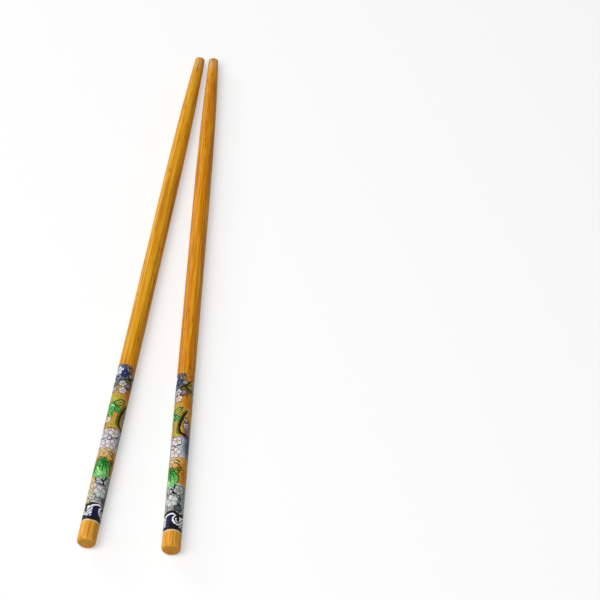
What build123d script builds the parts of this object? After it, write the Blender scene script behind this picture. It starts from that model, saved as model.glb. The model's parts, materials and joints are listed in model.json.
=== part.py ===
"""A pair of round bamboo chopsticks, laid down in a narrow V with the tips almost together.

Each stick is one turned piece: a shaft that thins very slowly from the handle end, then a long
curved taper down to a small flat tip, with both end rims rounded over. The printed flowers near
the handle are ink on the surface, so they add no piece and no thickness.

Millimetres. +Z is up, the sticks lie on Z = 0, and +Y points from the handle ends to the tips.
"""

from build123d import *
import os
from math import atan, cos, radians, sin, sqrt

os.makedirs("parts", exist_ok=True)

# One stick
STICK_LENGTH = 240.0  # handle end to tip
HANDLE_DIAMETER = 7.0  # at the handle end, the thickest place
SHAFT_DIAMETER = 6.6  # where the shaft ends and the taper starts
TIP_DIAMETER = 3.9  # of the end that picks up food
TAPER_LENGTH = 110.0  # from the tip back to the shaft
TIP_FLARE = 0.04  # growth of the radius for each millimetre just behind the tip
HANDLE_RIM_RADIUS = 1.2  # rounding of the edge round the handle end
TIP_RIM_RADIUS = 0.3  # rounding of the edge round the tip

# How the pair lies
SPREAD_ANGLE = 6.0  # degrees between the two sticks
TIP_GAP = 1.6  # clear space between the two tips

HANDLE_RADIUS = HANDLE_DIAMETER / 2
SHAFT_RADIUS = SHAFT_DIAMETER / 2
TIP_RADIUS = TIP_DIAMETER / 2
SHAFT_LENGTH = STICK_LENGTH - TAPER_LENGTH

# The shaft is a slender cone. A stick lies on the whole length of that cone, so its axis dips
# towards the tip by half the cone's angle, and the taper ahead of it stays clear of the table.
SHAFT_SLOPE = (HANDLE_RADIUS - SHAFT_RADIUS) / SHAFT_LENGTH
DIP_ANGLE = atan(SHAFT_SLOPE)
HALF_SPREAD = radians(SPREAD_ANGLE / 2)
AXIS_HEIGHT_AT_HANDLE = HANDLE_RADIUS * cos(DIP_ANGLE)


def end_overhang(radius: float, rim_radius: float, turn_sine: float) -> float:
    """How far a rounded end reaches past the middle of its flat, seen across a turned axis."""
    turn_cosine = sqrt(1 - turn_sine**2)
    return (radius - rim_radius) * turn_sine + rim_radius * (1 - turn_cosine)


# The pair is centred over the origin. Along Y that takes in the corners of the turned ends.
REACH = STICK_LENGTH * cos(HALF_SPREAD) * cos(DIP_ANGLE)
TURN_SINE = sqrt(1 - (cos(HALF_SPREAD) * cos(DIP_ANGLE)) ** 2)
HANDLE_OVERHANG = end_overhang(HANDLE_RADIUS, HANDLE_RIM_RADIUS, TURN_SINE)
TIP_OVERHANG = end_overhang(TIP_RADIUS, TIP_RIM_RADIUS, TURN_SINE)
HANDLE_Y = -(REACH + TIP_OVERHANG - HANDLE_OVERHANG) / 2
TIP_X = (TIP_GAP + TIP_DIAMETER) / 2
HANDLE_X = TIP_X + STICK_LENGTH * sin(HALF_SPREAD) * cos(DIP_ANGLE)


def stick_plane(side: int) -> Plane:
    """Upright plane through a stick's axis: origin at the handle end, local X towards the tip."""
    towards_tip = Vector(
        -side * sin(HALF_SPREAD) * cos(DIP_ANGLE),
        cos(HALF_SPREAD) * cos(DIP_ANGLE),
        -sin(DIP_ANGLE),
    )
    upright = Vector(0, 0, 1)
    handle_end = Vector(side * HANDLE_X, HANDLE_Y, AXIS_HEIGHT_AT_HANDLE)
    return Plane(origin=handle_end, x_dir=towards_tip, z_dir=towards_tip.cross(upright))


# -1 is the stick on the left of the V, 1 the stick on the right
for name, side in (("left_chopstick", -1), ("right_chopstick", 1)):
    plane = stick_plane(side)
    axis = Axis(plane.origin, plane.x_dir)

    with BuildPart() as stick:
        with BuildSketch(plane):
            with BuildLine():
                Line((0, 0), (0, HANDLE_RADIUS))
                Line((0, HANDLE_RADIUS), (SHAFT_LENGTH, SHAFT_RADIUS))
                # The taper leaves the shaft without a crease and reaches the tip at its flare.
                # Its two middle points stand a third of the way in from either end.
                third = TAPER_LENGTH / 3
                Bezier(
                    (SHAFT_LENGTH, SHAFT_RADIUS),
                    (SHAFT_LENGTH + third, SHAFT_RADIUS - SHAFT_SLOPE * third),
                    (STICK_LENGTH - third, TIP_RADIUS + TIP_FLARE * third),
                    (STICK_LENGTH, TIP_RADIUS),
                )
                Line((STICK_LENGTH, TIP_RADIUS), (STICK_LENGTH, 0))
                Line((STICK_LENGTH, 0), (0, 0))
            make_face()
        revolve(axis=axis)

        ends = stick.faces().filter_by(GeomType.PLANE).sort_by(axis)
        fillet(ends[0].edges(), HANDLE_RIM_RADIUS)
        fillet(ends[-1].edges(), TIP_RIM_RADIUS)

    stick.part.label = name
    export_step(stick.part, f"parts/{name}.step")
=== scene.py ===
"""A pair of round bamboo chopsticks with a printed flower band, lying on a pale table.

Both sticks are turned from one profile and share one finish: lacquered bamboo, with the print
painted over it. Sizes are in millimetres in the panel and in metres in the scene.
"""

import json
import math

import bmesh
import bpy
from mathutils import Color, Matrix, Vector, geometry, noise


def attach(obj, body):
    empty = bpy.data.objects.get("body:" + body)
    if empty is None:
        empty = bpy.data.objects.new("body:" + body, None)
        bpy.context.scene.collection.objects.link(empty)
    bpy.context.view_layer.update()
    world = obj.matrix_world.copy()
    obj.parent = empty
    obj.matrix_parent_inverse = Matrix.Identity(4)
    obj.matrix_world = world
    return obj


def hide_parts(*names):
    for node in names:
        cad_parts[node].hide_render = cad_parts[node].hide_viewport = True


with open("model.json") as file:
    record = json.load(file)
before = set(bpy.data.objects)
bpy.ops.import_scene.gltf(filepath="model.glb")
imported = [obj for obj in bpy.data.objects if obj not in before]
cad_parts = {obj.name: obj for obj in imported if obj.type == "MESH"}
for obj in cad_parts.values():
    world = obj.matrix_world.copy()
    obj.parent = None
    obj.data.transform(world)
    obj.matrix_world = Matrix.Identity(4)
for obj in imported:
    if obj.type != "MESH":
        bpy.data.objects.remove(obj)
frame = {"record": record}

bl_info = {
    "name": "Bamboo Chopsticks",
    "version": (1, 0, 0),
    "blender": (4, 5, 0),
    "location": "View3D > Sidebar > Chopsticks",
    "description": "A pair of turned bamboo chopsticks with a printed flower band",
    "category": "Object",
}

MM = 0.001  # metres

# Mesh, in mm
RIM_STEPS = 7  # faces across the rounding of a rim
END_RING = 0.12  # width of the flat ring just inside a rounded rim
WELD = 1e-4  # points closer than this are made one
SAME_PLACE = 1e-3  # distances shorter than this count as none
SAND_ACROSS = 9.0  # size of the hollows left by sanding, round the stick
SAND_ALONG = 17.0  # and along it

# Each stick's grain number, and how far its colour leans to the warm one
SIDES = {"left": (3.0, 0.15), "right": (41.0, 0.75)}
GRAIN_SHIFT = Vector((5, 0, 3))  # mm for each unit of that number

# Finish, mostly in mm; places count from the handle end
WRAP_LENGTH = 21.8  # round the stick where the print is
SOFT_EDGE = 0.09  # over which a printed edge fades
SLACK = 1.7  # the most that slip and wander move a printed shape
ARC_REACH = 8.6  # the most that a large arc reaches along the stick from its middle
WANDER = 0.7  # over which the print's outlines waver
FILM_STRENGTH = 0.6  # share of the bamboo that it hides
FILM_FOOT = 8.6  # where the clear film of the flower band starts
FILM_END = 79.5  # and where it has faded by half
PALE_RING_MIDDLE = 7.85  # middle of a pale cream ring painted just below the scroll border
BORDER_FOOT = 8.2  # lower edge of the scroll border
BORDER_TOP = 16.4  # its upper edge, at the crest of a wave
BORDER_REPEATS = 3  # waves round the stick
BORDER_MIDDLE = 1.1  # where one of the waves has its middle, round the stick
HANDLE_BARE = 9.0  # up to which the bamboo is paler
TIP_WORN = 5.5  # from the tip, over which the lacquer is thin
CUT_DEPTH = 0.25  # of the colour of the cut ends
RELIEF = 0.04  # depth of the grain
SWAY = 1.6  # over which the grain bends to and fro


def colour(red, green, blue, name, description):
    """A colour property, written as it looks on screen with 255 for full."""
    return bpy.props.FloatVectorProperty(
        name=name,
        description=description,
        subtype="COLOR_GAMMA",
        size=3,
        min=0,
        max=1,
        default=(red / 255, green / 255, blue / 255),
    )


def millimetres(value, name, description):
    """A length property in millimetres."""
    return bpy.props.FloatProperty(name=name, description=description, default=value, min=0)


def slip(value, name):
    """How far a print sits from its usual place, towards the tip, in millimetres."""
    description = "How far the print sits towards the tip, in mm"
    return bpy.props.FloatProperty(name=name, description=description, default=value)


def degrees(value, name, description):
    """An angle property, given in degrees."""
    return bpy.props.FloatProperty(
        name=name, description=description, default=math.radians(value), subtype="ANGLE"
    )


class StickSizes(bpy.types.PropertyGroup):
    """The turned shape that both sticks share."""

    length: millimetres(240.0, "Length", "Handle end to tip, in mm")
    handle_diameter: millimetres(7.0, "Handle Diameter", "At the handle end, in mm")
    shaft_diameter: millimetres(6.6, "Shaft Diameter", "Where the taper starts, in mm")
    tip_diameter: millimetres(3.9, "Tip Diameter", "At the tip, in mm")
    taper_length: millimetres(110.0, "Taper Length", "From the tip back to the shaft, in mm")
    tip_flare: millimetres(0.04, "Tip Flare", "Growth of the radius per mm behind the tip")
    handle_rim: millimetres(1.2, "Handle Rim", "Rounding of the edge at the handle end, in mm")
    tip_rim: millimetres(0.3, "Tip Rim", "Rounding of the edge at the tip, in mm")
    ring_spacing: millimetres(2.0, "Ring Spacing", "Distance between rings of the mesh, in mm")
    unevenness: millimetres(0.05, "Unevenness", "Depth left by sanding, in mm")
    steps: bpy.props.IntProperty(
        name="Steps", description="Faces round the stick", default=96, min=24, max=160
    )
    left_view_line: degrees(6.9, "Left Print Line", "Middle of the print from straight up")
    right_view_line: degrees(-37.9, "Right Print Line", "Middle of the print from straight up")
    left_print_slip: slip(0.4, "Left Print Slip")
    right_print_slip: slip(-1.1, "Right Print Slip")


class BambooColours(bpy.types.PropertyGroup):
    """The lacquered bamboo."""

    ground: colour(220, 147, 2, "Ground", "Bamboo between the bundles")
    pale: colour(240, 184, 48, "Pale Streak", "Lighter broad streaks")
    bundle: colour(172, 96, 0, "Bundle", "The darker bundles that run along the stick")
    fleck: colour(112, 62, 14, "Fleck", "Short dark flecks")
    warm: colour(211, 122, 0, "Warm Stick", "Deeper colour of the right-hand stick")
    handle: colour(240, 174, 76, "Handle", "Paler bamboo at the bare handle end")
    end: colour(204, 140, 44, "Cut End", "The cut fibres at both ends")
    worn: colour(216, 168, 104, "Worn Tip", "Paler bamboo where the lacquer is thin")
    roughness: bpy.props.FloatProperty(
        name="Roughness", description="Satin lacquer", default=0.42, min=0, max=1
    )


class PrintColours(bpy.types.PropertyGroup):
    """The inks of the flower band."""

    ink: colour(17, 15, 8, "Outline", "Outlines and the branch")
    navy: colour(15, 17, 68, "Navy", "Ground of the scroll border")
    scroll: colour(250, 252, 255, "Scroll White", "Scrolls of the border")
    film: colour(208, 160, 66, "Ground Film", "Thin film under the flowers")
    leaf: colour(92, 208, 92, "Leaf", "Bright green of the leaves")
    fern: colour(44, 160, 52, "Fern", "Shaded green of the leaves")
    moss: colour(16, 92, 24, "Moss", "Dark green of the leaves")
    lime: colour(166, 184, 48, "Lime", "Young leaves")
    shine: colour(178, 246, 160, "Leaf Shine", "Light stripes between the veins")
    olive: colour(114, 110, 0, "Olive", "Back of the branch")
    khaki: colour(190, 154, 72, "Khaki", "Ground between the leaves")
    ochre: colour(205, 124, 12, "Ochre", "Orange patches of the ground")
    cream: colour(226, 210, 172, "Cream", "Pale ground beside the grey flowers")
    brown: colour(122, 78, 10, "Brown", "Line flowers")
    cloud: colour(200, 205, 205, "Cloud", "Grey petals")
    white: colour(238, 236, 236, "White", "Hearts of the petals")
    lavender: colour(220, 212, 224, "Lavender", "Lavender petals")
    pink: colour(236, 202, 198, "Pink", "Pink petals")
    sky: colour(194, 210, 236, "Sky", "Pale blue petals")
    violet: colour(52, 60, 138, "Violet", "Deep blue petals")
    slate: colour(92, 106, 126, "Slate", "Blue-grey shade under the flowers")
    plum: colour(120, 58, 74, "Plum", "Red-violet petals")
    mist: colour(148, 166, 160, "Mist", "Green-grey petals")
    pollen: colour(178, 170, 128, "Pollen", "Hearts of the flowers")
    lightness: bpy.props.FloatProperty(
        name="Lightness", description="Scales the light of all the inks", default=0.92, min=0
    )
    line_width: millimetres(0.19, "Line Width", "Half the width of a drawn outline, in mm")


class StageLook(bpy.types.PropertyGroup):
    """Floor, light and camera."""

    floor: colour(204, 204, 204, "Floor", "The pale table top")
    key_strength: bpy.props.FloatProperty(
        name="Key Light", description="Softbox on the left, in watts", default=22.5, min=0
    )
    edge_strength: bpy.props.FloatProperty(
        name="Edge Light", description="Low softbox behind, in watts", default=3.8, min=0
    )
    fill_strength: bpy.props.FloatProperty(
        name="Fill Light", description="Light from all round", default=0.2, min=0
    )
    lens: bpy.props.FloatProperty(
        name="Lens", description="Focal length in mm", default=183.56, subtype="DISTANCE_CAMERA"
    )
    distance: millimetres(1168.0, "Camera Distance", "From the camera to its target, in mm")
    elevation: degrees(51.165, "Camera Elevation", "Above the table")
    azimuth: degrees(5.629, "Camera Azimuth", "Round to the right-hand side")
    target: bpy.props.FloatVectorProperty(
        name="Camera Target", description="Point on the table, in mm", default=(49.65, 1.862, 0)
    )


# Turning the sticks


def taper_points(sizes):
    """The long curved taper from the shaft to the tip, as places along the stick and radii."""
    shaft_length = sizes.length - sizes.taper_length
    shaft_radius = sizes.shaft_diameter / 2
    tip_radius = sizes.tip_diameter / 2
    slope = (sizes.handle_diameter - sizes.shaft_diameter) / 2 / shaft_length
    third = sizes.taper_length / 3
    return geometry.interpolate_bezier(
        Vector((shaft_length, shaft_radius, 0)),
        Vector((shaft_length + third, shaft_radius - slope * third, 0)),
        Vector((sizes.length - third, tip_radius + sizes.tip_flare * third, 0)),
        Vector((sizes.length, tip_radius, 0)),
        round(sizes.taper_length / sizes.ring_spacing) + 1,
    )


def turned_stick(sizes):
    """A stick along +Y from the origin, in mm: its profile spun round, with both rims rounded."""
    bm = bmesh.new()
    handle_radius = sizes.handle_diameter / 2
    taper = taper_points(sizes)
    outline = [(0, 0), (0, handle_radius), *((p.x, p.y) for p in taper), (sizes.length, 0)]
    profile = [bm.verts.new((0, along, radius)) for along, radius in outline]
    edges = [bm.edges.new(pair) for pair in zip(profile, profile[1:])]

    # The shaft is one straight line, cut into even lengths
    cuts = round(taper[0].x / sizes.ring_spacing) - 1
    bmesh.ops.subdivide_edges(bm, edges=[edges[1]], cuts=cuts)
    bmesh.ops.spin(
        bm,
        geom=bm.verts[:] + bm.edges[:],
        cent=(0, 0, 0),
        axis=(0, 1, 0),
        angle=math.tau,
        steps=sizes.steps,
        use_merge=True,
    )
    bmesh.ops.remove_doubles(bm, verts=bm.verts[:], dist=WELD)

    for along, radius, rim in (
        (0, handle_radius, sizes.handle_rim),
        (sizes.length, sizes.tip_diameter / 2, sizes.tip_rim),
    ):
        # The circle round the end, without the spokes that meet in its middle
        corner = [
            e
            for e in bm.edges
            if all(
                abs(v.co.y - along) < SAME_PLACE and math.hypot(v.co.x, v.co.z) > radius * 0.9
                for v in e.verts
            )
        ]
        bmesh.ops.bevel(
            bm,
            geom=corner,
            offset=rim,
            offset_type="OFFSET",
            affect="EDGES",
            segments=RIM_STEPS,
            profile=0.5,
            material=-1,
            clamp_overlap=True,
        )
        # A narrow ring just inside the rounding keeps the cut end flat where it meets it
        ends = [f for f in bm.faces if all(abs(v.co.y - along) < SAME_PLACE for v in f.verts)]
        bmesh.ops.inset_region(bm, faces=ends, thickness=END_RING, use_even_offset=True)
    return bm


def sand(bm, sizes, seed):
    """Takes off a little of the surface here and there, as hand sanding does."""
    for v in bm.verts:
        reach = math.hypot(v.co.x, v.co.z)
        place = Vector((v.co.x / SAND_ACROSS + seed, v.co.y / SAND_ALONG, v.co.z / SAND_ACROSS))
        depth = sizes.unevenness * (0.5 + 0.5 * noise.noise(place))
        if reach > SAME_PLACE:
            v.co.x -= v.co.x / reach * depth
            v.co.z -= v.co.z / reach * depth


# Where each stretch of a stick lies in its unrolled map: from and to in mm, then lower edge,
# height and length as shares of the map
MAP_ROWS = (
    (0, 42, 0.67, 0.32, 0.985),
    (42, 84, 0.34, 0.32, 0.985),
    (84, 162, 0.18, 0.15, 0.985),
    (162, 240, 0.04, 0.13, 0.93),
)
MAP_MARGIN = 0.007  # to the left of each strip
MAP_ROUND = 0.97  # share of a strip's height that the way round the stick takes

# The cut ends are two discs to the right of the last strip
HANDLE_DISC = (0.965, 0.105)
TIP_DISC = (0.965, 0.055)
DISC_SCALE = 0.006  # of the map for each mm
END_FACING = 0.99  # a face that looks this straight along the stick belongs to a cut end


def unroll(bm, view_line, print_slip):
    """Two maps: Wrap, in mm round and along the stick, and OFBake, four strips side by side."""
    wrap = bm.loops.layers.uv.new("Wrap")
    strips = bm.loops.layers.uv.new("OFBake")
    for face in bm.faces:
        middle = face.calc_center_median()
        start = math.atan2(middle.x, middle.z)
        cut_end = abs(face.normal.y) > END_FACING
        row = next((r for r in MAP_ROWS if middle.y < r[1]), MAP_ROWS[-1])
        for loop in face.loops:
            place = loop.vert.co
            # Measured from the face's own middle, so that no face reaches over the seam
            turn = math.atan2(place.x, place.z) if math.hypot(place.x, place.z) > WELD else start
            turn = start + math.remainder(turn - start, math.tau)
            around = (turn - view_line) / math.tau * WRAP_LENGTH
            loop[wrap].uv = (around, place.y - print_slip)
            if cut_end:
                u, v = HANDLE_DISC if row is MAP_ROWS[0] else TIP_DISC
                loop[strips].uv = (u + place.x * DISC_SCALE, v + place.z * DISC_SCALE)
            else:
                first, last, low, height, width = row
                share = (turn / math.tau + 0.5) * MAP_ROUND + (1 - MAP_ROUND) / 2
                reach = (place.y - first) / (last - first)
                loop[strips].uv = (MAP_MARGIN + reach * width, low + height * (1 - share))


def lay_down(name):
    """Turns a stick's own mm into its place in the frame, in metres."""
    mounts = frame["record"]["mounts"]
    end = next(m for m in mounts if m["name"] == name)
    along = -Vector(end["axis"]).normalized()
    across = along.cross(Vector((0, 0, 1))).normalized()
    above = across.cross(along).normalized()
    turn = Matrix((across, along, above)).transposed().to_4x4()
    return Matrix.Translation(Vector(end["pos_m"])) @ turn @ Matrix.Scale(MM, 4)


def add_piece(bm, name, finishes):
    """A piece made of a mesh that already lies where it belongs."""
    mesh = bpy.data.meshes.new(name)
    bm.to_mesh(mesh)
    bm.free()
    for finish in finishes:
        mesh.materials.append(finish)
    piece = bpy.data.objects.new(name, mesh)
    bpy.context.collection.objects.link(piece)
    return piece


def add_stick(sizes, side, finishes):
    """Turns, sands, unrolls and lays down one stick over its CAD node."""
    node = f"{side}_chopstick"
    bm = turned_stick(sizes)
    seed, warm = SIDES[side]
    sand(bm, sizes, seed)
    grain = bm.verts.layers.float_vector.new("stick_mm")
    warmth = bm.verts.layers.float.new("warmth")
    for v in bm.verts:
        v[grain] = v.co + GRAIN_SHIFT * seed
        v[warmth] = warm
    bmesh.ops.recalc_face_normals(bm, faces=bm.faces[:])
    unroll(bm, getattr(sizes, f"{side}_view_line"), getattr(sizes, f"{side}_print_slip"))
    for face in bm.faces:
        face.smooth = True
        middle = face.calc_center_median().y
        rows = (i for i, (low, high) in enumerate(STRETCHES, 1) if low <= middle < high)
        face.material_index = next(rows, 0)
    bmesh.ops.transform(bm, matrix=lay_down(f"{side}_handle_end"), verts=bm.verts[:])
    stick = add_piece(bm, f"{node}_turned", finishes)
    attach(stick, "root")
    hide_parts(node)


# Shader arithmetic


class Field:
    """A number that varies over the surface. Arithmetic on it adds Math nodes."""

    def __init__(self, recipe, socket):
        self.recipe = recipe
        self.socket = socket

    def math(self, operation, *others, clamp=False):
        """A Math node with this number first."""
        settings = {"operation": operation, "use_clamp": clamp}
        values = dict(enumerate((self, *others)))
        return Field(self.recipe, self.recipe.add("ShaderNodeMath", settings, values).outputs[0])

    def reflected(self, operation, other):
        """A Math node with this number second."""
        settings = {"operation": operation}
        values = {0: other, 1: self}
        return Field(self.recipe, self.recipe.add("ShaderNodeMath", settings, values).outputs[0])

    def __add__(self, other):
        return self.math("ADD", other)

    def __radd__(self, other):
        return self.math("ADD", other)

    def __sub__(self, other):
        return self.math("SUBTRACT", other)

    def __rsub__(self, other):
        return self.reflected("SUBTRACT", other)

    def __mul__(self, other):
        return self.math("MULTIPLY", other)

    def __rmul__(self, other):
        return self.math("MULTIPLY", other)

    def __truediv__(self, other):
        return self.math("DIVIDE", other)

    def __pow__(self, other):
        return self.math("POWER", other)

    def __abs__(self):
        return self.math("ABSOLUTE")

    def larger(self, other):
        """The larger of both numbers; of two shapes with soft edges, either of them."""
        return self.math("MAXIMUM", other)

    def edge(self, soft):
        """1 inside a shape and 0 outside, from the distance to its outline."""
        return self.math("MULTIPLY_ADD", -1 / soft, 0.5, clamp=True)


class Recipe:
    """Nodes of a material or of the world, added in the order in which they are used."""

    def __init__(self, owner):
        owner.use_nodes = True
        self.owner = owner
        self.tree = owner.node_tree
        self.tree.nodes.clear()

    def add(self, kind, settings=None, sockets=None):
        """One node: its settings first, then the values or links of its sockets."""
        node = self.tree.nodes.new(kind)
        for name, value in (settings or {}).items():
            setattr(node, name, value)
        for key, value in (sockets or {}).items():
            if isinstance(value, Field):
                value = value.socket
            if isinstance(value, bpy.types.NodeSocket):
                self.tree.links.new(value, node.inputs[key])
            else:
                node.inputs[key].default_value = value
        return node

    def mix(self, share, first, second, blend="MIX"):
        """From the first colour to the second as share goes from 0 to 1."""
        settings = {"data_type": "RGBA", "blend_type": blend}
        return self.add("ShaderNodeMix", settings, {0: share, 6: first, 7: second}).outputs[2]

    def vector(self, operation, first, second):
        """A node with the sum, difference or product of two vectors."""
        return self.add("ShaderNodeVectorMath", {"operation": operation}, {0: first, 1: second})

    def stretched(self, vector, scale):
        """The same coordinates, scaled."""
        values = {"Vector": vector, "Scale": scale}
        return self.add("ShaderNodeMapping", {"vector_type": "POINT"}, values).outputs[0]

    def noise(self, vector, fineness, detail=2.0, roughness=0.5):
        """A node with smooth noise, about 0.5 on average."""
        vector = self.stretched(vector, fineness)
        values = {"Vector": vector, "Scale": 1.0, "Detail": detail, "Roughness": roughness}
        return self.add("ShaderNodeTexNoise", None, values)

    def cells(self, vector, randomness, dimensions="3D", feature="F1", scale=1.0):
        """A node with cells of uneven shape."""
        settings = {"voronoi_dimensions": dimensions, "feature": feature}
        values = {"Vector": vector, "Scale": scale, "Randomness": randomness}
        return self.add("ShaderNodeTexVoronoi", settings, values)

    def parts(self, vector, kind="XYZ"):
        """The three numbers of a vector, or those of a colour where kind is Color."""
        node = self.add(f"ShaderNodeSeparate{kind}", None, {0: vector})
        return [Field(self, output) for output in node.outputs]


def linear(value, lightness=1.0):
    """A property's screen colour as the shader's RGBA."""
    return (*(Color(value).from_srgb_to_scene_linear() * lightness), 1.0)


# The print, in mm: u round the stick to the right of the middle line, y from the handle end


class Print:
    """Paints drawn shapes over a colour, each one on top of those before it."""

    def __init__(self, recipe, inks, solid, wander):
        self.recipe = recipe
        self.inks = inks
        self.solid = solid
        map_node = recipe.add("ShaderNodeUVMap", {"uv_map": "Wrap"})
        around, self.along, _ = recipe.parts(map_node.outputs[0])
        around = around + wander[0]
        along = self.along + wander[1]
        half = WRAP_LENGTH / 2
        wave = half / BORDER_REPEATS
        self.fronts = {
            "near": self.joined(around.math("WRAP", half, -half), along),
            "far": self.joined(around.math("WRAP", WRAP_LENGTH, 0), along),
            "border": self.joined((around - BORDER_MIDDLE).math("WRAP", wave, -wave), along),
        }

    def joined(self, x, y):
        """Both coordinates and a 1, so that one dot product can turn, scale and move them."""
        return self.recipe.add("ShaderNodeCombineXYZ", None, {0: x, 1: y, 2: 1.0}).outputs[0]

    def ink(self, name):
        """One of the inks, with the lightness of the whole print."""
        return linear(getattr(self.inks, name), self.inks.lightness)

    def placed(self, u, y, turn, scale, front=None):
        """Coordinates that start at a shape's middle, turned with it by degrees, in its units.

        Without a front they are the ones whose seam lies on the side away from the shape.
        """
        if front is None:
            u = math.remainder(u, WRAP_LENGTH)
            front = "near"
            if abs(u) > WRAP_LENGTH / 4:
                front = "far"
                u %= WRAP_LENGTH
        cosine = math.cos(math.radians(turn))
        sine = math.sin(math.radians(turn))
        lines = (
            (cosine, sine, -u * cosine - y * sine),
            (-sine, cosine, u * sine - y * cosine),
        )
        rows = ([n / size for n in line] for line, size in zip(lines, scale))
        dots = (self.recipe.vector("DOT_PRODUCT", self.fronts[front], row) for row in rows)
        return [Field(self.recipe, dot.outputs[1]) for dot in dots]

    def length(self, x, across):
        """The distance from a shape's middle."""
        return (x * x).math("ADD", across * across).math("SQRT")

    def lobes(self, angle, petals):
        """1 in the middle of each petal and 0 between two of them."""
        return abs((angle * (petals / 2)).math("COSINE"))

    def wash(self, base, u, y, wide, high, ink, strength, fade):
        """A soft patch of colour; fade is the share of its radius over which it thins out."""
        inside = self.length(*self.placed(u, y, 0, (wide, high)))
        inside = inside.math("MULTIPLY_ADD", -1 / fade, 1 / fade, clamp=True)
        return self.recipe.mix(inside * strength, base, self.ink(ink))

    def blossom(self, base, u, y, radius, turn, outer, inner, strength):
        """Five round petals with drawn outlines and stamens, and a small heart."""
        notch, heart = 0.36, 0.17  # of the radius
        x, across = self.placed(u, y, turn, (radius, radius))
        reach = self.length(x, across)
        angle = across.math("ARCTAN2", x)
        lobe = self.lobes(angle, 5)
        rim = reach - (lobe**0.5).math("MULTIPLY_ADD", notch, 1 - notch)
        soft = SOFT_EDGE / radius
        line = self.inks.line_width / radius
        outwards = reach.math("MULTIPLY", 1.15, clamp=True)
        petal = self.recipe.mix(outwards, self.ink(inner), self.ink(outer))
        base = self.recipe.mix(rim.edge(soft), base, petal)
        gap = (lobe * reach).math("MULTIPLY_ADD", 0.4, -line * 0.6).larger(rim).edge(soft)
        stamen = (angle * 7.5).math("COSINE").math("MULTIPLY_ADD", 6, -5, clamp=True)
        stamen = stamen * (reach - 0.5).edge(0.1) * 0.7
        drawn = (abs(rim) - line).edge(soft).larger(gap).larger(stamen)
        base = self.recipe.mix(drawn * strength, base, self.ink("ink"))
        return self.recipe.mix((reach - heart).edge(soft), base, self.ink("pollen"))

    def leaf(self, base, u, y, length, width, turn, bend, dark, bright):
        """A pointed leaf with a rib and side veins; length and width are halves."""
        x, across = self.placed(u, y, turn, (length, width))
        square = x * x
        side = abs(square.math("MULTIPLY_ADD", bend, across))
        rim = square + side - 1
        soft = SOFT_EDGE / width
        line = self.inks.line_width / width
        veins = abs((x * 3.5 + side * 1.3).math("FRACT") - 0.5) - 0.06
        shaded = (x * 0.55 + side * 0.4).math("ADD", 0.25, clamp=True)
        blade = self.recipe.mix(shaded, self.ink(bright), self.ink(dark))
        lit = (veins * 3).math("MULTIPLY_ADD", 1 - x * 0.6, -0.7, clamp=True) * 0.7
        blade = self.recipe.mix(lit, blade, self.ink("shine"))
        base = self.recipe.mix(rim.edge(soft), base, blade)
        drawn = veins.edge(0.16) * 0.8
        drawn = drawn.larger((side - line * 0.8).edge(soft)) * rim.edge(soft)
        drawn = drawn.larger((abs(rim) - line).edge(soft))
        return self.recipe.mix(drawn * 0.95, base, self.ink("moss" if dark == "moss" else "ink"))

    def line_flower(self, base, u, y, radius, turn, ink):
        """A flower in outline only, so that the ground shows through its petals."""
        notch, heart = 0.4, 0.24  # of the radius
        x, across = self.placed(u, y, turn, (radius, radius))
        reach = self.length(x, across)
        lobe = self.lobes(across.math("ARCTAN2", x), 5)
        rim = abs(reach - (lobe**0.5).math("MULTIPLY_ADD", notch, 1 - notch))
        drawn = rim.math("MINIMUM", abs(reach - heart)) - self.inks.line_width * 0.9 / radius
        return self.recipe.mix(drawn.edge(SOFT_EDGE / radius) * 0.9, base, self.ink(ink))

    def stroke(self, base, u0, y0, u1, y1, half_width, ink, bend, front=None):
        """A pen stroke that thins out at both ends."""
        length = math.hypot(u1 - u0, y1 - y0) / 2
        turn = math.degrees(math.atan2(y1 - y0, u1 - u0))
        scale = (length, half_width)
        x, across = self.placed((u0 + u1) / 2, (y0 + y1) / 2, turn, scale, front)
        square = x * x
        side = abs(square.math("MULTIPLY_ADD", bend / half_width, across))
        rim = square.math("MULTIPLY_ADD", square, side) - 1
        return self.recipe.mix(rim.edge(SOFT_EDGE / half_width), base, self.ink(ink))

    def arc(self, base, u, y, radius, start, end, half_width, ink, front=None):
        """Part of a ring that thins out at both ends."""
        x, across = self.placed(u, y, (start + end) / 2, (radius, radius), front)
        swing = across.math("ARCTAN2", x) / math.radians(abs(end - start) / 2)
        thin = (swing**4).math("MULTIPLY_ADD", half_width / radius, -half_width / radius)
        rim = abs(self.length(x, across) - 1) + thin
        return self.recipe.mix(rim.edge(SOFT_EDGE / radius), base, self.ink(ink))

    def petal_lines(self):
        """Fine outlines of many small overlapping petals."""
        walls = self.recipe.cells(self.solid, 1.0, feature="DISTANCE_TO_EDGE", scale=0.62)
        return (Field(self.recipe, walls.outputs["Distance"]) - 0.05).edge(0.07)

    def band(self, low, high):
        """1 between two places along the stick."""
        return (abs(self.along - (low + high) / 2) - (high - low) / 2).edge(SOFT_EDGE)


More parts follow.
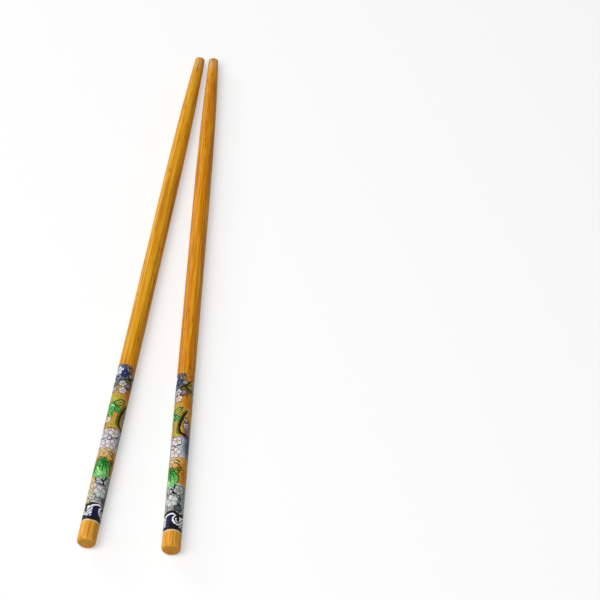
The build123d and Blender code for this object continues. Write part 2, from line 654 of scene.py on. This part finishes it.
# Soft patches: middle, half sizes, ink, strength, fade
WASHES = (
    (-2.8, 74.3, 5.4, 5.8, "slate", 0.95, 0.2),
    (-3.0, 76.0, 2.3, 2.8, "sky", 0.9, 0.5),
    (-0.5, 75.0, 1.7, 2.5, "violet", 0.9, 0.5),
    (3.9, 71.8, 3.4, 3.6, "olive", 0.85, 0.35),
    (10.8, 73.6, 5.6, 6.0, "lavender", 0.8, 0.35),
    (1.6, 69.8, 3.0, 1.7, "plum", 0.75, 0.6),
    (4.4, 65.4, 2.8, 3.4, "ochre", 1.0, 0.5),
    (-1.4, 57.6, 5.4, 9.4, "khaki", 0.85, 0.25),
    (3.6, 53.5, 3.4, 5.6, "khaki", 0.6, 0.4),
    (-1.6, 62.2, 3.6, 2.6, "lime", 0.7, 0.7),
    (4.8, 54.4, 2.0, 5.2, "brown", 0.6, 0.5),
    (1.2, 44.7, 9.6, 5.0, "lavender", 1.0, 0.12),
    (7.6, 45.7, 4.4, 7.2, "slate", 1.0, 0.5),
    (4.2, 44.8, 2.6, 5.2, "mist", 0.6, 0.7),
    (12.0, 46.0, 5.4, 10.5, "lavender", 0.9, 0.25),
    (-0.5, 38.4, 5.6, 3.2, "cream", 0.66, 0.6),
    (4.4, 32.2, 2.4, 5.6, "ochre", 0.6, 0.5),
    (3.0, 20.6, 6.2, 8.4, "cloud", 0.95, 0.12),
    (-4.6, 20.8, 3.7, 8.4, "cream", 1.0, 0.35),
    (-1.2, 27.8, 3.4, 2.2, "leaf", 0.5, 0.7),
)

# Soft shade and light over the flowers, written in the same way
SHADES = (
    (-0.6, 28.4, 3.4, 2.0, "shine", 0.6, 0.9),
    (-2.4, 35.2, 3.4, 1.5, "moss", 0.3, 0.9),
    (-4.2, 31.4, 1.6, 4.0, "moss", 0.4, 0.9),
    (-3.6, 56.4, 1.8, 2.6, "moss", 0.4, 0.9),
    (3.4, 17.0, 4.6, 2.0, "ink", 0.6, 0.9),
    (4.4, 20.8, 1.8, 3.0, "slate", 0.55, 0.9),
    (1.6, 72.4, 3.8, 3.0, "ink", 0.25, 0.9),
    (4.7, 49.7, 2.7, 2.0, "navy", 0.85, 0.8),
    (4.9, 52.6, 1.9, 3.2, "slate", 0.6, 0.9),
    (-1.0, 49.2, 4.6, 1.5, "khaki", 0.5, 0.9),
    (4.4, 77.3, 2.4, 2.3, "ochre", 0.85, 0.7),
    (5.8, 45.2, 2.4, 6.8, "navy", 0.8, 0.9),
    (0.3, 51.0, 2.6, 2.6, "lime", 0.35, 0.9),
    (2.4, 68.5, 2.3, 1.4, "ink", 0.4, 0.9),
    (1.3, 27.3, 2.8, 1.6, "leaf", 0.35, 0.9),
)

# Pen strokes: from, to, half width, ink, bend
STROKES = (
    (5.9, 76.2, 2.0, 72.1, 0.3, "ink", 0.3),
    (1.7, 73.6, 4.6, 70.4, 0.34, "ink", -0.2),
    (6.4, 72.6, 3.2, 72.0, 0.3, "lime", 0.2),
    (3.0, 50.4, 4.9, 50.6, 0.5, "ink", -0.2),
    (0.6, 78.8, 2.0, 75.4, 0.25, "moss", 0.3),
    (2.2, 69.0, 4.6, 67.2, 0.3, "brown", 0.2),
    (-2.7, 57.3, -0.9, 54.9, 0.5, "fern", 0.3),
    (-2.5, 56.9, -1.0, 54.9, 0.2, "moss", 0.3),
    (-2.2, 78.4, 1.4, 78.9, 0.34, "plum", 0.4),
    (1.7, 79.0, 2.9, 76.8, 0.36, "plum", 0.2),
    (-4.4, 74.2, -1.6, 73.0, 0.26, "ink", 0.3),
    (-0.2, 71.9, 2.6, 72.6, 0.3, "ink", 0.3),
    (-1.1, 44.6, -3.8, 44.2, 0.22, "ink", 0.3),
    (0.7, 44.9, 3.4, 45.6, 0.22, "ink", -0.3),
    (-3.8, 49.4, 1.6, 49.3, 0.22, "brown", 0.5),
    (-3.4, 58.9, -1.2, 57.2, 0.22, "moss", 0.3),
    (-3.0, 60.3, -1.0, 59.4, 0.26, "shine", 0.2),
    (0.8, 39.4, 3.5, 37.6, 0.34, "brown", 0.3),
    (1.1, 38.0, 3.6, 36.0, 0.34, "brown", 0.3),
    (2.5, 34.9, 3.3, 32.8, 0.42, "ink", 0.4),
    (-3.6, 33.6, -0.6, 30.4, 0.24, "moss", 0.3),
    (-1.2, 34.6, 1.2, 31.4, 0.26, "moss", -0.3),
    (-3.9, 30.2, -1.7, 27.7, 0.22, "fern", 0.2),
    (-2.4, 32.0, -0.8, 28.8, 0.3, "shine", 0.3),
    (2.3, 27.6, 1.6, 25.8, 0.34, "ink", 0.1),
    (0.1, 26.4, 1.7, 25.0, 0.28, "ink", 0.2),
    (0.9, 24.6, 2.5, 23.2, 0.3, "ink", -0.2),
    (3.8, 23.6, 4.9, 20.8, 0.24, "ink", 0.2),
    (3.3, 20.2, 4.7, 17.8, 0.28, "ink", 0.2),
    (9.0, 36.0, 14.5, 20.0, 0.5, "ink", 1.6),
    (13.2, 28.0, 16.4, 31.5, 0.3, "ink", 0.3),
    (11.2, 25.0, 8.0, 21.0, 0.3, "ink", 0.3),
    (10.4, 62.5, 14.6, 58.0, 0.4, "olive", 0.5),
)

# Arcs: middle, radius, from and to in degrees, half width, ink
ARCS = (
    (15.5, 53.1, 14.15, 141, 187, 0.95, "olive"),
    (4.8, 53.1, 3.5, 160, 236, 0.92, "olive"),
    (15.5, 53.1, 13.75, 141, 186, 0.5, "ink"),
    (4.8, 53.1, 3.1, 166, 272, 0.48, "ink"),
    (-0.2, 44.7, 0.85, -180, 180, 0.22, "ink"),
    (1.5, 31.0, 6.2, 118, 142, 0.3, "moss"),
)

# Leaves: middle, half length, half width, turn in degrees, bend, shade, light
LEAVES = (
    (-2.4, 58.8, 3.9, 2.3, 66, 0.3, "moss", "leaf"),
    (0.6, 61.2, 2.4, 1.2, 30, -0.3, "khaki", "lime"),
    (0.2, 58.0, 2.2, 1.0, 125, 0.2, "fern", "leaf"),
    (-1.5, 31.4, 4.9, 3.3, 78, 0.15, "moss", "leaf"),
    (1.4, 30.8, 3.6, 1.6, 104, -0.2, "fern", "leaf"),
    (2.5, 34.3, 1.9, 1.0, 60, 0.5, "olive", "lime"),
    (-4.8, 29.5, 3.0, 1.2, 60, 0.2, "moss", "lime"),
    (13.6, 60.0, 3.4, 1.5, 25, 0.3, "moss", "leaf"),
    (9.4, 58.6, 2.4, 1.0, 140, 0.3, "fern", "leaf"),
    (14.4, 33.6, 3.0, 0.9, 55, 0.2, "fern", "leaf"),
    (16.2, 29.0, 2.8, 0.9, 20, 0.2, "moss", "leaf"),
    (9.0, 31.0, 3.0, 0.9, 130, 0.2, "fern", "leaf"),
    (8.6, 23.6, 2.8, 0.9, 155, 0.2, "moss", "leaf"),
    (14.6, 22.4, 2.6, 0.9, 60, 0.2, "moss", "lime"),
)

# Blossoms: middle, radius, turn in degrees, outer and inner ink, strength of the outlines
BLOSSOMS = (
    (-3.0, 76.3, 2.2, 20, "sky", "white", 0.7),
    (1.3, 76.6, 1.4, 10, "plum", "cream", 0.9),
    (-0.2, 74.8, 1.6, 60, "violet", "navy", 0.9),
    (-3.9, 71.6, 2.0, 40, "slate", "mist", 0.8),
    (2.2, 69.6, 1.6, 50, "plum", "pink", 0.9),
    (-2.3, 73.0, 1.4, 30, "slate", "sky", 1.0),
    (2.7, 74.1, 1.3, 15, "mist", "cream", 0.9),
    (-0.1, 70.1, 1.7, 0, "cloud", "white", 1.0),
    (0.4, 66.9, 1.7, 15, "pink", "white", 0.75),
    (-3.4, 67.6, 1.6, 50, "mist", "cream", 0.8),
    (8.4, 75.6, 2.2, 30, "cloud", "white", 0.8),
    (12.4, 76.2, 2.3, 10, "lavender", "white", 0.8),
    (15.6, 72.6, 2.1, 50, "sky", "white", 0.8),
    (10.6, 71.0, 2.4, 0, "violet", "sky", 0.8),
    (13.4, 67.4, 2.1, 20, "pink", "white", 0.8),
    (7.6, 68.6, 1.8, 35, "cloud", "pink", 0.8),
    (-2.9, 53.2, 1.6, 25, "cream", "white", 0.6),
    (-4.6, 51.0, 1.5, 5, "plum", "pink", 0.6),
    (4.4, 54.4, 1.4, 0, "pink", "white", 1.0),
    (4.1, 57.2, 1.0, 30, "cream", "white", 1.0),
    (-2.7, 46.8, 2.5, 10, "lavender", "cloud", 0.75),
    (1.1, 47.3, 2.2, 45, "white", "pink", 0.8),
    (-3.3, 42.3, 2.3, 70, "lavender", "white", 0.75),
    (0.8, 42.1, 2.4, 80, "white", "pink", 0.75),
    (6.4, 25.4, 2.1, 20, "cloud", "mist", 0.9),
    (0.0, 25.6, 2.0, 15, "mist", "white", 1.0),
    (3.6, 25.4, 2.2, 50, "cloud", "mist", 1.0),
    (5.9, 20.8, 2.2, 0, "mist", "cloud", 0.9),
    (3.9, 17.6, 1.7, 75, "slate", "mist", 1.0),
    (1.0, 20.6, 2.9, 30, "cloud", "white", 0.85),
    (-1.7, 17.8, 1.5, 30, "cloud", "cream", 0.85),
)

LINE_FLOWERS = (
    (-1.0, 37.6, 2.0, 15, "brown"),
    (-3.6, 22.8, 1.8, 40, "ochre"),
    (4.6, 33.0, 1.9, 0, "brown"),
    (8.0, 61.4, 1.8, 20, "brown"),
)

# Where many small petals crowd together, from and to
CROWDS = ((15.0, 28.0), (69.0, 79.0))
CROWD_STRENGTH = 0.75  # share of ink in their outlines

# The head of florets: middle, half sizes, and turn in degrees
CLUSTER_MIDDLE = (12.0, 46.0)
CLUSTER_HALF = (4.6, 9.6)
CLUSTER_TURN = 8
FLORETS = (0.52, 0.52, 0)  # for each mm, round and along

# The print is painted in stretches, from and to in mm, because one material can't hold it all
STRETCHES = ((0, 16), (16, 28), (28, 40), (40, 50), (50, 64), (64, 84))


def painted_print(recipe, inks, base, solid, wander, stretch):
    """One stretch of the flower band over the bamboo, and where it covers the bamboo."""
    art = Print(recipe, inks, solid, wander)

    def near(middle, reach):
        """Whether a shape at this place along the stick can reach into the stretch."""
        return stretch[0] - reach - SLACK < middle < stretch[1] + reach + SLACK

    fade = ((art.along - FILM_END) * 0.35).math("MULTIPLY_ADD", -1, 0.5, clamp=True)
    zone = fade * (FILM_FOOT - art.along).edge(SOFT_EDGE)
    base = recipe.mix(zone * FILM_STRENGTH, base, art.ink("film"))
    for row in WASHES:
        if near(row[1], row[3]):
            base = art.wash(base, *row)
    if any(near((low + high) / 2, (high - low) / 2) for low, high in CROWDS):
        crowd = art.petal_lines() * art.band(*CROWDS[0]).larger(art.band(*CROWDS[1]))
        base = recipe.mix(crowd * CROWD_STRENGTH, base, art.ink("ink"))
    for row in LEAVES:
        if near(row[1], row[2]):
            base = art.leaf(base, *row)
    if near(CLUSTER_MIDDLE[1], CLUSTER_HALF[1]):
        base = cluster(art, base)
    for row in BLOSSOMS:
        if near(row[1], row[2]):
            base = art.blossom(base, *row)
    for row in SHADES:
        if near(row[1], row[3]):
            base = art.wash(base, *row)
    for row in ARCS:
        if near(row[1], min(row[2], ARC_REACH)):
            base = art.arc(base, *row)
    for row in STROKES:
        if near((row[1] + row[3]) / 2, abs(row[3] - row[1]) / 2 + abs(row[6])):
            base = art.stroke(base, *row)
    for row in LINE_FLOWERS:
        if near(row[1], row[2]):
            base = art.line_flower(base, *row)
    if stretch[0] > 0:
        return base, zone
    base, border = scroll_border(art, base)
    return base, zone.larger(border)


def cluster(art, base):
    """A long head of small four-petalled florets on the back of the stick."""
    recipe = art.recipe
    head = art.length(*art.placed(*CLUSTER_MIDDLE, CLUSTER_TURN, CLUSTER_HALF))
    head = (head - 1).edge(0.06)
    spaced = recipe.vector("MULTIPLY", art.fronts["far"], FLORETS).outputs[0]
    cells = recipe.cells(spaced, 0.55, "2D")
    floret = recipe.vector("SUBTRACT", spaced, cells.outputs["Position"]).outputs[0]
    x, across, _ = recipe.parts(floret)
    random = recipe.parts(cells.outputs["Color"], "Color")[0]
    angle = across.math("ARCTAN2", x) + random * 3
    reach = art.length(x, across)
    lobe = art.lobes(angle, 4)
    rim = reach - lobe.math("MULTIPLY_ADD", 0.26, 0.26)
    petal = recipe.mix(random, art.ink("lavender"), art.ink("sky"))
    petal = recipe.mix(reach.math("MULTIPLY", 1.8, clamp=True), art.ink("white"), petal)
    florets = recipe.mix(rim.edge(0.07), art.ink("violet"), petal)
    florets = recipe.mix((reach - 0.07).edge(0.06), florets, art.ink("pollen"))
    return recipe.mix(head, base, florets)


# The scroll border repeats round the stick, so u counts from the middle of each wave

# Soft blocks: middle, half sizes, ink, width of the fading edge
BORDER_BLOCKS = (
    (-0.2, 12.1, 1.2, 2.3, "navy", 0.5),
    (-2.6, 11.9, 1.1, 2.2, "scroll", 0.4),
)

# Arcs and strokes, written as those of the band above
BORDER_ARCS = (
    (0.55, 10.2, 4.6, 68, 134, 0.35, "scroll"),
    (3.05, 12.6, 1.85, 108, 268, 0.37, "scroll"),
    (3.35, 12.5, 1.05, 130, 275, 0.2, "scroll"),
)

BORDER_STROKES = (
    (2.5, 10.7, 6.3, 10.6, 0.36, "scroll", 0.2),
    (-3.9, 9.6, -1.5, 12.6, 0.2, "ink", 0.2),
    (-3.9, 11.2, -1.7, 14.0, 0.2, "ink", 0.2),
    (-3.0, 9.4, -1.4, 11.0, 0.2, "navy", 0.2),
)


def scroll_border(art, base):
    """Dark band with running white waves, and a pale cream ring painted just below it."""
    recipe = art.recipe
    x, y = art.placed(0, 0, 0, (1, 1), "border")
    crown = (x * x) * 0.1  # how far the upper edge falls away from the crest
    ground = (y + crown - BORDER_TOP).larger(BORDER_FOOT - y).edge(SOFT_EDGE)
    # A pale cream ring painted on the bare wood just below the border
    pale_ring = (abs(y - PALE_RING_MIDDLE) - 0.3).edge(SOFT_EDGE) * 0.85
    base = recipe.mix(pale_ring, base, art.ink("cream"))
    base = recipe.mix(ground, base, art.ink("ink"))
    for u, along, wide, high, ink, soft in BORDER_BLOCKS:
        block = (abs(x - u) - wide).larger(abs(y - along) - high).edge(soft)
        base = recipe.mix(block * ground * 0.9, base, art.ink(ink))
    for row in BORDER_STROKES:
        base = art.stroke(base, *row, front="border")
    for row in BORDER_ARCS:
        base = art.arc(base, *row, front="border")
    return base, ground


# How fine the grain and the ink's unevenness are, in cells for each mm across, along and across
BEND_GRAIN = (0.12, 0.012, 0.12)
BUNDLE_GRAIN = (1.5, 0.009, 1.5)
FIBRE_GRAIN = (6.0, 0.06, 6.0)
BROAD_GRAIN = (0.4, 0.014, 0.4)
STREAK_GRAIN = (1.0, 0.035, 1.0)
FLECK_GRAIN = (1.1, 0.16, 1.1)
WANDER_GRAIN = (0.9, 0.9, 0.9)
CLOUD_GRAIN = (1.0, 0.7, 1.0)


def bamboo_finish(length, colours, inks, stretch=None):
    """Satin lacquer over straight bamboo grain, with a stretch of the flower band if given."""
    name = f"printed_bamboo_{stretch[0]}" if stretch else "lacquered_bamboo"
    recipe = Recipe(bpy.data.materials.new(name))
    solid = recipe.add("ShaderNodeAttribute", {"attribute_name": "stick_mm"}).outputs["Vector"]

    # Grain: long dark bundles, fine fibres, broad streaks and a few short flecks
    bend = recipe.noise(solid, BEND_GRAIN, 1.0).outputs["Color"]
    bend = recipe.vector("SUBTRACT", bend, (0.5, 0.5, 0.5)).outputs[0]
    bend = recipe.vector("MULTIPLY", bend, (SWAY, 0, SWAY)).outputs[0]
    drawn_out = recipe.vector("ADD", solid, bend).outputs[0]
    bundles = recipe.cells(recipe.stretched(drawn_out, BUNDLE_GRAIN), 0.9)
    bundle = (Field(recipe, bundles.outputs["Distance"]) - 0.26).edge(0.22)
    fibre = Field(recipe, recipe.noise(drawn_out, FIBRE_GRAIN).outputs[0])
    broad = Field(recipe, recipe.noise(solid, BROAD_GRAIN).outputs[0])
    streaks = Field(recipe, recipe.noise(drawn_out, STREAK_GRAIN).outputs[0])
    flecks = recipe.cells(recipe.stretched(drawn_out, FLECK_GRAIN), 1.0)
    chance = recipe.parts(flecks.outputs["Color"], "Color")[0]
    fleck = (Field(recipe, flecks.outputs["Distance"]) - 0.18).edge(0.1)
    fleck = fleck * chance.math("GREATER_THAN", 0.6)

    def laid(share, over, name):
        """A layer of one of the bamboo's colours."""
        return recipe.mix(share, over, linear(getattr(colours, name)))

    broad = (broad - 0.5).math("MULTIPLY_ADD", 4.0, 0.42, clamp=True)
    base = laid(broad, linear(colours.ground), "pale")
    warmth = recipe.add("ShaderNodeAttribute", {"attribute_name": "warmth"}).outputs["Fac"]
    base = laid(warmth, base, "warm")
    place = recipe.parts(solid)[1]
    handle = (place - HANDLE_BARE).math("MULTIPLY_ADD", -0.2, 0.75, clamp=True)
    base = laid(handle * 0.8, base, "handle")
    tip = (place - (length - TIP_WORN)).math("MULTIPLY_ADD", 0.16, 0.5, clamp=True)
    base = laid(tip * (streaks + 0.3), base, "worn")
    base = laid((streaks - 0.5).math("MULTIPLY", -6.0, clamp=True) * 0.62, base, "bundle")
    base = laid((streaks - 0.52).math("MULTIPLY", 6.0, clamp=True) * 0.62, base, "pale")
    base = laid(bundle * (0.7 - handle * 0.5), base, "bundle")
    base = laid((fibre - 0.46).math("MULTIPLY", -5.0, clamp=True), base, "bundle")
    base = laid((fibre - 0.54).math("MULTIPLY", 5.0, clamp=True), base, "pale")
    base = laid(fleck * 0.7, base, "fleck")

    # Cut ends, where the bundles show as dark dots
    from_middle = abs(place - length / 2)
    end = (length / 2 - CUT_DEPTH - from_middle).edge(0.5)
    base = laid(end * 0.75, base, "end")
    base = laid(end * bundle * 0.8, base, "fleck")

    covered = None
    if stretch:
        wander = recipe.noise(drawn_out, WANDER_GRAIN).outputs["Color"]
        wander = recipe.parts(wander, "Color")[:2]
        wander = [part.math("MULTIPLY_ADD", WANDER, -WANDER / 2) for part in wander]
        base, covered = painted_print(recipe, inks, base, drawn_out, wander, stretch)
        cloudy = recipe.noise(drawn_out, CLOUD_GRAIN, 3.0, 0.65)
        values = {0: cloudy.outputs["Color"], 1: (2.0, 2.0, 2.0), 2: (-0.5, -0.5, -0.5)}
        cloudy = recipe.add("ShaderNodeVectorMath", {"operation": "MULTIPLY_ADD"}, values)
        base = recipe.mix(covered * 0.7, base, cloudy.outputs[0], blend="SOFT_LIGHT")

    # The print lies smoother over the grain
    relief = bundle * (handle * 0.2 - 0.35) + fibre * 0.6 - fleck * 0.4
    rough = (fibre - 0.5) * 0.25 + bundle * 0.06 + colours.roughness
    if covered:
        relief = relief * (1 - covered * 0.6) + covered * 0.5
        rough = rough - covered * 0.06
    values = {"Strength": 0.6, "Distance": RELIEF * MM, "Height": relief}
    bump = recipe.add("ShaderNodeBump", None, values)
    shader = recipe.add(
        "ShaderNodeBsdfPrincipled",
        None,
        {
            "Base Color": base,
            "Roughness": rough,
            "Specular IOR Level": 0.08,
            "Coat Weight": 0.05,
            "Coat Roughness": 0.22,
            "Normal": bump.outputs[0],
        },
    )
    recipe.add("ShaderNodeOutputMaterial", None, {"Surface": shader.outputs[0]})
    return recipe.owner


# Stage, in metres

FLOOR_HALF = 2.0  # half the side of the table top
FLOOR_LIFT = 0.44  # light added to what is seen of the table, so that it looks white
# Softboxes: place, width, height
KEY_BOX = ((-0.58, -0.55, 1.32), 1.2, 1.6)
EDGE_BOX = ((-0.95, 0.81, 0.4), 0.5, 0.3)
SENSOR_WIDTH = 36  # mm


def rays_that_see(recipe):
    """1 for the rays that look at the backdrop, straight or by reflection, and 0 for its light."""
    rays = recipe.add("ShaderNodeLightPath").outputs
    seen = Field(recipe, rays["Is Camera Ray"])
    for kind in ("Glossy", "Transmission"):
        seen = seen.larger(Field(recipe, rays[f"Is {kind} Ray"]))
    return seen


def pale_floor(look):
    """Plain table that looks white behind the object and still takes its shadow."""
    recipe = Recipe(bpy.data.materials.new("table_top"))
    table = recipe.add("ShaderNodeBsdfDiffuse", None, {"Color": linear(look.floor)})
    seen = rays_that_see(recipe)
    lift = {"Color": (1, 1, 1, 1), "Strength": seen * FLOOR_LIFT}
    lift = recipe.add("ShaderNodeEmission", None, lift)
    both = recipe.add("ShaderNodeAddShader", None, {0: table.outputs[0], 1: lift.outputs[0]})
    recipe.add("ShaderNodeOutputMaterial", None, {"Surface": both.outputs[0]})
    return recipe.owner


def add_floor(look):
    """A square of table top."""
    bm = bmesh.new()
    bmesh.ops.create_grid(bm, x_segments=1, y_segments=1, size=FLOOR_HALF)
    floor = add_piece(bm, "table_top", [pale_floor(look)])


def add_softbox(name, place, width, height, watts):
    """A rectangular softbox that faces the sticks."""
    lamp = bpy.data.lights.new(name, "AREA")
    lamp.shape = "RECTANGLE"
    lamp.size = width
    lamp.size_y = height
    lamp.energy = watts
    softbox = bpy.data.objects.new(name, lamp)
    softbox.location = place
    softbox.rotation_euler = Vector(place).to_track_quat("Z", "Y").to_euler()
    bpy.context.collection.objects.link(softbox)


def add_light(look):
    """A large softbox on the left, a low one behind for the sheen, and even light all round."""
    add_softbox("key_light", *KEY_BOX, look.key_strength)
    add_softbox("edge_light", *EDGE_BOX, look.edge_strength)

    world = bpy.data.worlds.new("studio")
    bpy.context.scene.world = world
    recipe = Recipe(world)
    seen = rays_that_see(recipe)
    fill, white = (
        recipe.add("ShaderNodeBackground", None, {"Color": (1, 1, 1, 1), "Strength": strength})
        for strength in (look.fill_strength, 1.0)
    )
    both = {0: seen, 1: fill.outputs[0], 2: white.outputs[0]}
    both = recipe.add("ShaderNodeMixShader", None, both)
    recipe.add("ShaderNodeOutputWorld", None, {"Surface": both.outputs[0]})


def add_camera(look):
    """Long lens from above the handle ends, a little to the right."""
    data = bpy.data.cameras.new("camera")
    data.lens = look.lens
    data.sensor_width = SENSOR_WIDTH
    camera = bpy.data.objects.new("camera", data)
    flat = math.cos(look.elevation)
    back = Vector(
        (math.sin(look.azimuth) * flat, -math.cos(look.azimuth) * flat, math.sin(look.elevation))
    )
    camera.location = (Vector(look.target) + back * look.distance) * MM
    camera.rotation_euler = back.to_track_quat("Z", "Y").to_euler()
    bpy.context.collection.objects.link(camera)
    bpy.context.scene.camera = camera


# Operators and panel


class CHOPSTICKS_OT_turn_sticks(bpy.types.Operator):
    """Turn both sticks and give them their bamboo, print and lacquer"""

    bl_idname = "chopsticks.turn_sticks"
    bl_label = "Turn Sticks"

    def execute(self, context):
        scene = context.scene
        sizes = scene.chopsticks_sizes
        finishes = [
            bamboo_finish(sizes.length, scene.chopsticks_bamboo, scene.chopsticks_print, stretch)
            for stretch in (None, *STRETCHES)
        ]
        for side in SIDES:
            add_stick(sizes, side, finishes)
        return {"FINISHED"}


class CHOPSTICKS_OT_set_stage(bpy.types.Operator):
    """Set up the table, the light and the camera"""

    bl_idname = "chopsticks.set_stage"
    bl_label = "Set Stage"

    def execute(self, context):
        look = context.scene.chopsticks_stage
        add_floor(look)
        add_light(look)
        add_camera(look)
        context.scene.view_settings.view_transform = "Standard"
        return {"FINISHED"}


class CHOPSTICKS_PT_panel(bpy.types.Panel):
    """Sizes, colours and steps of the pair"""

    bl_idname = "CHOPSTICKS_PT_panel"
    bl_label = "Chopsticks"
    bl_space_type = "VIEW_3D"
    bl_region_type = "UI"
    bl_category = "Chopsticks"

    def draw(self, context):
        layout = self.layout
        for group in ("chopsticks_sizes", "chopsticks_bamboo", "chopsticks_print"):
            self.draw_group(layout, getattr(context.scene, group))
        layout.operator("chopsticks.turn_sticks")
        self.draw_group(layout, context.scene.chopsticks_stage)
        layout.operator("chopsticks.set_stage")

    def draw_group(self, layout, group):
        column = layout.box().column()
        for name in group.__annotations__:
            column.prop(group, name)


GROUPS = {
    "chopsticks_sizes": StickSizes,
    "chopsticks_bamboo": BambooColours,
    "chopsticks_print": PrintColours,
    "chopsticks_stage": StageLook,
}
CLASSES = (
    *GROUPS.values(),
    CHOPSTICKS_OT_turn_sticks,
    CHOPSTICKS_OT_set_stage,
    CHOPSTICKS_PT_panel,
)


def register():
    """Adds the operators, the panel and their settings to Blender."""
    for cls in CLASSES:
        bpy.utils.register_class(cls)
    for name, group in GROUPS.items():
        setattr(bpy.types.Scene, name, bpy.props.PointerProperty(type=group))


def unregister():
    """Takes them out again."""
    for name in GROUPS:
        delattr(bpy.types.Scene, name)
    for cls in reversed(CLASSES):
        bpy.utils.unregister_class(cls)


def main():
    """Makes the pair and its stage."""
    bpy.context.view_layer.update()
    register()
    bpy.ops.chopsticks.turn_sticks()
    bpy.ops.chopsticks.set_stage()
    bpy.context.view_layer.update()


if __name__ == "__main__":
    main()
